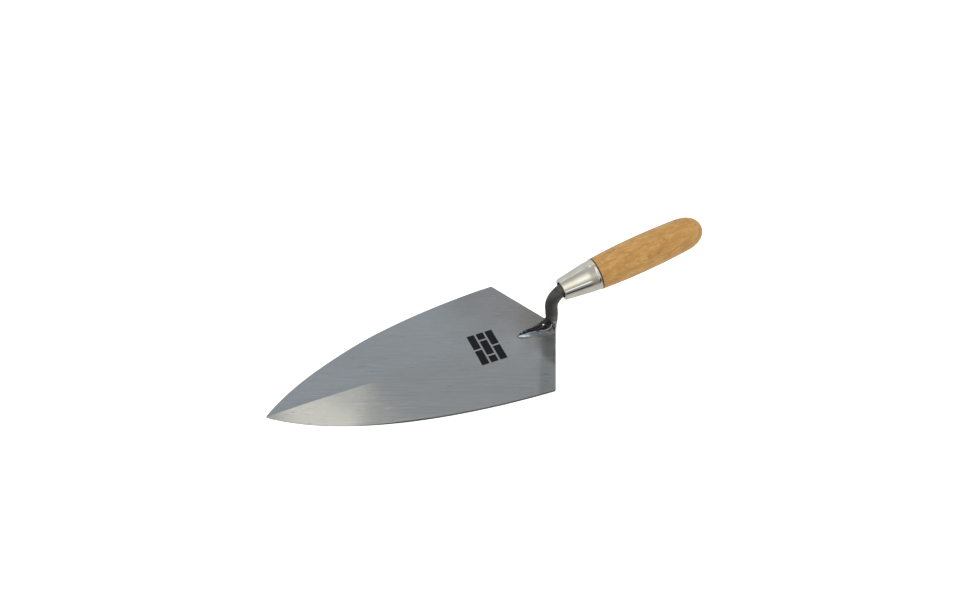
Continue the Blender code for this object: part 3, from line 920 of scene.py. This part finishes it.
def forged_black():
    """Black forge scale under lacquer, browner by the ferrule and glossier on the foot, with painted
    highlights on its point and on its near flank by the leg.
    """
    p = Paint("forged_black")
    x, y, z = p.split()
    scale = p.noise((420, 420, 420), detail=5.0, roughness=0.6)
    patches = p.noise((110, 110, 110), shift=(2, 5, 1))
    creases = p.noise((260, 900, 900), distortion=0.6, shift=(4, 2, 8))
    low = p.times(p.range(z, 0.018, 0.012), p.range(x, HEEL_X - 0.002, HEEL_X - 0.007))
    black = p.mix(p.range(patches, 0.35, 0.68), (0.034, 0.034, 0.032), (0.058, 0.054, 0.053))
    rust = p.times(p.range(z, 0.044, 0.0485), p.range(patches, 0.42, 0.6))
    black = p.layer(black, (0.11, 0.062, 0.046), rust, 0.5)
    black = p.layer(black, (0.006, 0.005, 0.006), low, 0.9)
    worn = p.times(p.range(scale, 0.6, 0.7), low)
    black = p.layer(black, (0.16, 0.16, 0.17), worn, 0.5)
    # painted highlight: patches on the foot's point are coloured light blue
    tip = p.times(p.range(x, HEEL_X - 0.029, HEEL_X - 0.037), p.range(scale, 0.5, 0.58))
    black = p.mix(tip, black, (0.24, 0.34, 0.37))
    # painted highlight: light grey patches on the near flank beside the leg
    stripe = p.times(p.range(x, HEEL_X - 0.0084, HEEL_X - 0.0068),
                     p.range(x, HEEL_X - 0.004, HEEL_X - 0.0054))
    near_face = p.times(p.range(y, -0.0026, -0.0042), stripe)
    near_flank_highlight = p.times(p.range(z, 0.024, 0.0165), near_face, p.range(scale, 0.46, 0.58))
    black = p.layer(black, (0.28, 0.27, 0.27), near_flank_highlight, 0.7)
    rough = p.minus(p.range(scale, 0.3, 0.7, 0.36, 0.5), p.times(low, 0.2))
    relief = p.plus(p.times(scale, 0.35), p.times(creases, low))
    p.set(Base_Color=black, Metallic=0.25, Roughness=rough, Normal=p.bump(relief, 0.8, 0.0005),
          Specular_IOR_Level=p.range(low, 0.0, 1.0, 0.5, 0.15),
          Coat_Weight=p.range(low, 0.0, 1.0, 0.12, 0.38), Coat_Roughness=0.1)
    return p.material


# Heat colours of the weld from its point to the heel vertex, with a painted highlight, bright and
# bluish white, near the point
WELD_HEAT_AND_HIGHLIGHT_COLOURS = ((0.0, (0.46, 0.46, 0.46)), (0.12, (0.6, 0.64, 0.65)), (0.21, (0.72, 0.88, 0.95)),
                (0.3, (0.4, 0.5, 0.58)), (0.38, (0.2, 0.24, 0.31)), (0.47, (0.17, 0.19, 0.23)),
                (0.6, (0.18, 0.18, 0.19)), (1.0, (0.24, 0.24, 0.24)))


def weld_metal():
    """Ground weld with heat colours, black slag behind, and painted highlights along the bead's
    crest, near the point and on one spatter bead.
    """
    p = Paint("weld_metal")
    x, _, z = p.split()
    ragged = p.noise((260, 260, 260), detail=4.0)
    along = p.plus(p.minus(x, HEEL_X), p.range(ragged, 0.3, 0.7, -0.002, 0.002))
    slag = p.times(p.range(along, -0.013, -0.007), p.range(z, 0.003, 0.0042),
                   p.range(ragged, 0.5, 0.56))
    colour = p.mix(slag, ramp(p, p.range(along, -0.044, 0.002, smooth=False), WELD_HEAT_AND_HIGHLIGHT_COLOURS),
                   (0.012, 0.011, 0.011))
    crest = p.add("Attribute", attribute_name="crest").outputs["Fac"]
    # painted highlight: the bead's crest is coloured light grey
    crest_highlight = p.times(p.range(crest, 0.25, 0.85), p.range(ragged, 0.36, 0.5))
    colour = p.layer(colour, (0.62, 0.61, 0.62), crest_highlight, 0.85)
    # painted highlight: one spatter bead is coloured near white and made non-metallic
    drop_x, drop_y, drop_z, _ = WELD_SPATTER[0]
    from_drop = p.measure("DISTANCE", p.place, (HEEL_X + drop_x, drop_y, drop_z))
    drop = p.range(from_drop, 0.0022, 0.0014)
    colour = p.mix(drop, colour, (0.95, 0.93, 0.9))
    metal = p.minus(1.0, p.math("MAXIMUM", p.times(slag, 0.8), drop))
    fine = p.noise((1500, 1500, 1500))
    p.set(Base_Color=colour, Metallic=metal, Roughness=p.range(ragged, 0.3, 0.7, 0.22, 0.4),
          Normal=p.bump(fine, 0.25, 0.00012))
    return p.material


def ramp(p, value, stops):
    """Colour ramp over (position, colour) pairs."""
    node = p.add("ValToRGB", {"Fac": value})
    elements = node.color_ramp.elements
    elements.remove(elements[-1])
    elements[0].position = stops[0][0]
    elements[0].color = (*stops[0][1], 1.0)
    for position, colour in stops[1:]:
        elements.new(position).color = (*colour, 1.0)
    return node.outputs["Color"]


def nickel_plate():
    """Bright, slightly yellow plating with faint spinning lines round the cone."""
    p = Paint("nickel_plate")
    local = p.mapped(turn=(0, AXIS_RISE, 0))
    rings = p.noise((3200, 60, 60), source=local)
    haze = p.noise((90, 90, 90), detail=4.0, distortion=0.4)
    colour = p.mix(p.range(haze, 0.3, 0.7), (0.7, 0.68, 0.6), (0.64, 0.61, 0.52))
    rough = p.plus(p.range(rings, 0.35, 0.65, 0.07, 0.11), p.range(haze, 0.5, 0.75, 0.0, 0.05))
    p.set(Base_Color=colour, Metallic=1.0, Roughness=rough, Normal=p.bump(rings, 0.06, 0.00004))
    return p.material


def beech():
    """Oiled beech: lengthwise grain, growth rings and short ray flecks."""
    p = Paint("beech")
    local = p.mapped(turn=(0, AXIS_RISE, 0))
    grain = p.noise((40, 700, 700), detail=5.0, roughness=0.6, source=local)
    mottle = p.noise((75, 170, 170), detail=4.0, distortion=0.5, source=local)
    wood = p.mix(p.range(mottle, 0.32, 0.68), (0.435, 0.222, 0.056), (0.54, 0.308, 0.094))
    wood = p.layer(wood, (0.38, 0.185, 0.046), p.range(grain, 0.48, 0.7), 0.3)
    wood = p.layer(wood, (0.32, 0.15, 0.04), growth_rings(p, local), 0.3)
    light = ray_flecks(p, p.mapped(shift=(0.3, 0.2, 0.1), source=local), (170, 560, 560), 0.38)
    wood = p.layer(wood, (0.7, 0.455, 0.18), light, 0.36)
    dark = ray_flecks(p, local, (200, 700, 700), 0.28)
    wood = p.layer(wood, (0.22, 0.105, 0.03), dark, 0.42)
    # painted shadow: a thin dark ring on the wood where it meets the ferrule's rim
    along = p.measure("DOT_PRODUCT", p.place, AXIS)
    start = MOUTH.dot(AXIS) + GRIP_START
    wood = p.mix(p.range(along, start + 0.0013, start + 0.0005), wood, (0.06, 0.022, 0.01))
    relief = p.minus(p.times(grain, 0.6), dark)
    p.set(Base_Color=wood, Roughness=p.range(grain, 0.3, 0.7, 0.38, 0.5),
          Normal=p.bump(relief, 0.18, 0.00012), Specular_IOR_Level=0.35,
          Coat_Weight=0.08, Coat_Roughness=0.3)
    return p.material


def growth_rings(p, local):
    """Mask of thin late-wood lines round a pith behind the handle."""
    sway = p.noise((20, 34, 34), detail=2.0, source=local)
    _, ring_y, ring_z = p.split(p.mapped(shift=(0, -0.03, -0.0145), source=local))
    squares = p.plus(p.math("POWER", ring_y, 2.0), p.math("POWER", ring_z, 2.0))
    radius = p.plus(p.math("SQRT", squares), p.range(sway, 0.2, 0.8, -0.003, 0.003, smooth=False))
    rings_per_metre = 420.0
    wave = p.math("FRACT", p.times(radius, rings_per_metre))
    return p.times(p.range(wave, 0.6, 0.95), p.range(wave, 1.0, 0.95))


def ray_flecks(p, source, scale, kept):
    """Mask of short spindle shapes along the grain; kept is the share of cells that have one."""
    size = 0.46
    cells = p.add("TexVoronoi", {"Vector": p.mapped(scale, source=source), "Scale": 1.0})
    chosen = p.add("SeparateColor", {"Color": cells.outputs["Color"]}).outputs[0]
    spindle = p.range(cells.outputs["Distance"], size, size * 0.5)
    return p.times(spindle, p.range(chosen, kept, kept - 0.05))


def resin():
    """Amber resin with a few darker streaks, hidden in the bore."""
    p = Paint("resin")
    streaks = p.noise((90, 400, 400))
    colour = p.mix(streaks, (0.6, 0.42, 0.18), (0.42, 0.27, 0.1))
    p.set(Base_Color=colour, Roughness=p.range(streaks, 0.3, 0.7, 0.18, 0.32))
    return p.material


def print_ink():
    """Matt black ink, a little worn by the grinding lines beneath it."""
    p = Paint("print_ink")
    wear = p.noise((120, 1900, 900), detail=4.0)
    colour = p.mix(p.range(wear, 0.55, 0.8), (0.008, 0.008, 0.009), (0.026, 0.027, 0.028))
    p.set(Base_Color=colour, Roughness=p.range(wear, 0.3, 0.7, 0.55, 0.7), Specular_IOR_Level=0.12)
    return p.material


# ---- studio

CAMERA_AZIMUTH = math.radians(-23.05)
CAMERA_ELEVATION = math.radians(44.87)
CAMERA_DISTANCE = 0.902
CAMERA_TARGET = Vector((-0.0614, 0.0261, 0.0371))
LENS = 36.72
SENSOR_WIDTH = 36.0
FLOOR_REACH = 6.0
FLOOR_GAP = 0.00005  # the floor lies this far below the blade

# The studio as seen from the tool, by angle round the camera's right axis in degrees: 0 is
# the horizon behind it, 90 is overhead, 180 is the horizon on the camera's side and -90 is
# the floor.  Each band gives its angle, its level and how blue it is.  STUDIO_LEFT is the
# half towards the blade's tip and STUDIO_RIGHT the half towards the butt.
STUDIO_LEFT = (
    (-180, 0.45, 0), (-173, 0.3, 0), (-168, 0.03, 0), (-158, 0.03, 0), (-151, 0.45, 0),
    (-129, 0.68, 0), (-90, 0.76, 0), (-45, 0.7, 0), (0, 0.68, 0.02), (30, 0.78, 0.05),
    (53, 0.74, 0.06), (54.5, 1.4, 0), (59, 1.4, 0), (61, 0.62, 0.02), (86, 0.56, 0),
    (100, 0.8, 0), (114, 1.2, -0.02), (128, 1.46, -0.03), (140, 1.12, -0.02), (153, 0.58, 0),
    (164, 0.6, 0), (166, 1.8, 0.1), (170, 1.8, 0.1), (172, 0.5, 0), (180, 0.45, 0),
)
STUDIO_RIGHT = (
    (-180, 0.35, 0), (-165, 0.25, 0), (-157, 0.27, 0), (-147, 0.52, 0), (-138, 0.68, 0),
    (-45, 0.72, 0), (0, 0.68, 0.02), (30, 0.82, 0.04), (44, 0.82, 0.04), (48, 0.76, 0.04),
    (50.3, 0.7, 0.04), (51.5, 0.61, 0.03), (54, 0.6, 0.03), (61, 0.62, 0.04),
    (70, 0.6, 0.02), (106, 0.6, 0), (121, 0.68, -0.02), (137, 0.76, -0.02), (149, 0.6, 0),
    (160, 0.45, 0), (180, 0.35, 0),
)
SOFTBOX = (1.95, 1.87, 1.69)  # high behind the tool, mirrored by one tip facet
DIM_CORNER = (0.1, 0.1, 0.1)  # unlit corner, mirrored by the near heel band
LOW_GLOW = (0.72, 0.68, 0.68)  # pale light from the floor beyond the butt


def build_floor():
    """Paper that glows a little for the camera, so that it stays white."""
    bm = bmesh.new()
    corners = ((-1, -1), (1, -1), (1, 1), (-1, 1))
    bm.faces.new([bm.verts.new((FLOOR_REACH * x, FLOOR_REACH * y, -FLOOR_GAP)) for x, y in corners])
    floor = finish_piece("floor", bm)
    p = Paint("floor_paper")
    speckle = p.noise((900, 900, 900), detail=2.0)
    colour = p.mix(speckle, (0.93, 0.93, 0.93), (0.96, 0.96, 0.96))
    seen = p.add("LightPath").outputs["Is Camera Ray"]
    glow = p.math("MULTIPLY_ADD", seen, 0.35, 0.15)
    p.set(Base_Color=colour, Roughness=0.9, Emission_Color=colour, Emission_Strength=glow)
    floor.data.materials.append(p.material)
    floor.visible_glossy = False


def build_world():
    """Soft studio of long bands of light, with a softbox and a dim corner."""
    world = bpy.data.worlds.new("studio")
    bpy.context.scene.world = world
    world.use_nodes = True
    world.node_tree.nodes.clear()
    p = Nodes(world.node_tree, "Generated")
    _, away, up = p.split(p.mapped(turn=(0, 0, -CAMERA_AZIMUTH)))
    tilt = p.math("ARCTAN2", up, away)
    band = p.math("MULTIPLY_ADD", tilt, 0.5 / math.pi, 0.5)
    towards_butt = p.range(p.measure("DOT_PRODUCT", p.place, AXIS), -0.04, 0.1)
    light = p.mix(towards_butt, bands(p, band, STUDIO_LEFT), bands(p, band, STUDIO_RIGHT))
    x, y, _ = p.split()
    degrees = p.times(tilt, 180 / math.pi)
    box = p.times(p.range(degrees, 54.1, 55.1), p.range(degrees, 69.0, 66.0),
                  p.range(x, -0.026, -0.004), p.range(y, 0.0, 0.1))
    light = p.mix(box, light, SOFTBOX)
    azimuth = p.times(p.math("ARCTAN2", x, y), 180 / math.pi)
    dim = p.times(p.range(azimuth, 28.5, 34.0), p.range(azimuth, 80.0, 60.0),
                  p.range(degrees, 20.0, 35.0))
    light = p.layer(light, DIM_CORNER, dim, 0.48)
    low_glow = p.times(p.range(up, 0.0, -0.2), p.range(x, 0.25, 0.5))
    light = p.mix(low_glow, light, LOW_GLOW)
    seen = p.add("LightPath").outputs["Is Camera Ray"]
    light = p.mix(seen, light, (1.0, 1.0, 1.0))
    background = p.add("Background", {"Color": light, "Strength": 1.0})
    output = p.add("OutputWorld")
    p.feed(output.inputs[0], background.outputs[0])


def bands(p, band, table):
    """Colour ramp over a table of (angle, level, blueness)."""
    return ramp(p, band, [((angle + 180) / 360, (level * (1 - blue), level, level * (1 + blue)))
                          for angle, level, blue in table])


def build_lamp():
    """Broad overhead lamp that whitens the floor and is not mirrored in the metal."""
    lamp = bpy.data.lights.new("overhead", "SUN")
    lamp.energy = 0.9
    lamp.angle = math.radians(70)
    item = bpy.data.objects.new("overhead", lamp)
    item.rotation_euler = (math.radians(12), math.radians(-8), 0.0)
    item.visible_glossy = False
    bpy.context.scene.collection.objects.link(item)


def build_camera():
    """Camera that looks down on the tool from the side."""
    data = bpy.data.cameras.new("camera")
    data.lens = LENS
    data.sensor_width = SENSOR_WIDTH
    data.clip_start = 0.01
    camera = bpy.data.objects.new("camera", data)
    a, e = CAMERA_AZIMUTH, CAMERA_ELEVATION
    back = Vector((math.sin(a) * math.cos(e), -math.cos(a) * math.cos(e), math.sin(e)))
    camera.location = CAMERA_TARGET + back * CAMERA_DISTANCE
    camera.rotation_mode = "QUATERNION"
    camera.rotation_quaternion = (-back).to_track_quat("-Z", "Y")
    bpy.context.scene.collection.objects.link(camera)
    bpy.context.scene.camera = camera


def main():
    dress(build_blade(), ground_steel(), "ground_steel", "blade")
    dress(build_print(), print_ink(), "print_ink")
    dress(build_shank(), forged_black(), "forged_black", "shank")
    dress(build_weld(), weld_metal(), "weld_metal", "weld_bead")
    dress(build_ferrule(), nickel_plate(), "nickel_plate", "ferrule")
    dress(build_handle(), beech(), "beech", "handle")
    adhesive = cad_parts["tang_adhesive"]
    adhesive.data.materials.clear()
    adhesive.data.materials.append(resin())
    build_floor()
    build_world()
    build_lamp()
    build_camera()
    bpy.context.scene.view_settings.view_transform = "Standard"


main()
